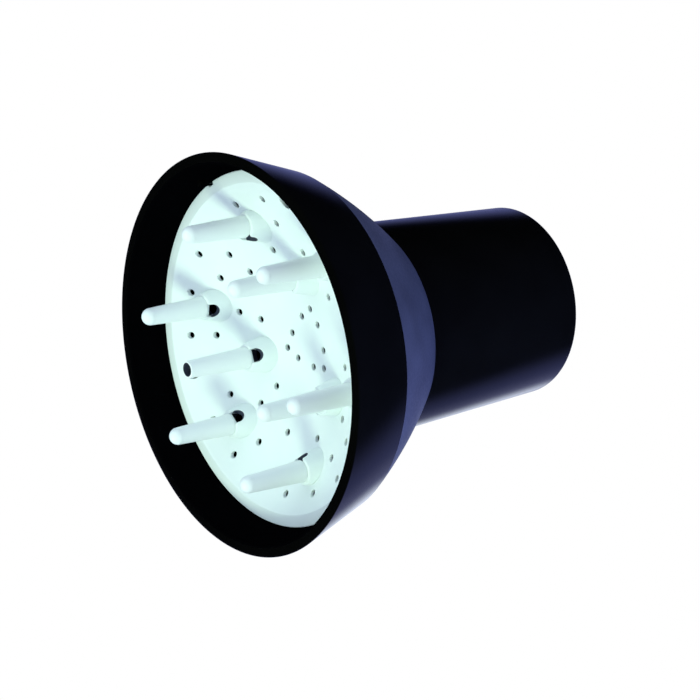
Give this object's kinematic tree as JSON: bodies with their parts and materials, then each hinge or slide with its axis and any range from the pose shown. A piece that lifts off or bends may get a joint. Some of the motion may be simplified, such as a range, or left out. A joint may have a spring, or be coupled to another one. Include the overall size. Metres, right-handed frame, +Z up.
{
  "type": "hair dryer diffuser",
  "caption": "Round hair dryer diffuser: black bowl on a push-on sleeve, with a pull-out white perforated plate that carries hollow fingers.",
  "frame": {"origin": "centre of the sleeve's open rear mouth, in the plane of its end face", "axes": "+Y along the axis of revolution, out of the sleeve's mouth and towards the dryer; the bowl and fingers face -Y; +Z up; +X to the right for someone who looks along +Y at the fingers"},
  "size_m": [0.15, 0.1473, 0.15],
  "materials": {
    "bowl_black": "glossy black moulding, satin on the shoulder",
    "sleeve_black": "glossy black moulding",
    "grip_rubber": "matt black rubber",
    "plate_white": "satin white moulding",
    "finger_white": "satin white moulding"
  },
  "bodies": {
    "shell": {"bowl": "bowl_black", "sleeve": "sleeve_black", "grip_ring": "grip_rubber"},
    "finger_set": {"finger_plate": "plate_white", "finger_outer_1": "finger_white", "finger_outer_2": "finger_white", "finger_outer_3": "finger_white", "finger_outer_4": "finger_white", "finger_outer_5": "finger_white", "finger_outer_6": "finger_white", "finger_inner_1": "finger_white", "finger_inner_2": "finger_white", "finger_inner_3": "finger_white", "tip_cap_outer_1": "finger_white", "tip_cap_outer_2": "finger_white", "tip_cap_outer_3": "finger_white", "tip_cap_outer_4": "finger_white", "tip_cap_outer_5": "finger_white", "tip_cap_outer_6": "finger_white", "tip_cap_inner_1": "finger_white", "tip_cap_inner_2": "finger_white"}
  },
  "joints": [
    {"name": "plate_pull", "type": "slide", "parent": "shell", "child": "finger_set", "axis": [0, -1, 0], "range_m": [0, 0.06]}
  ]
}
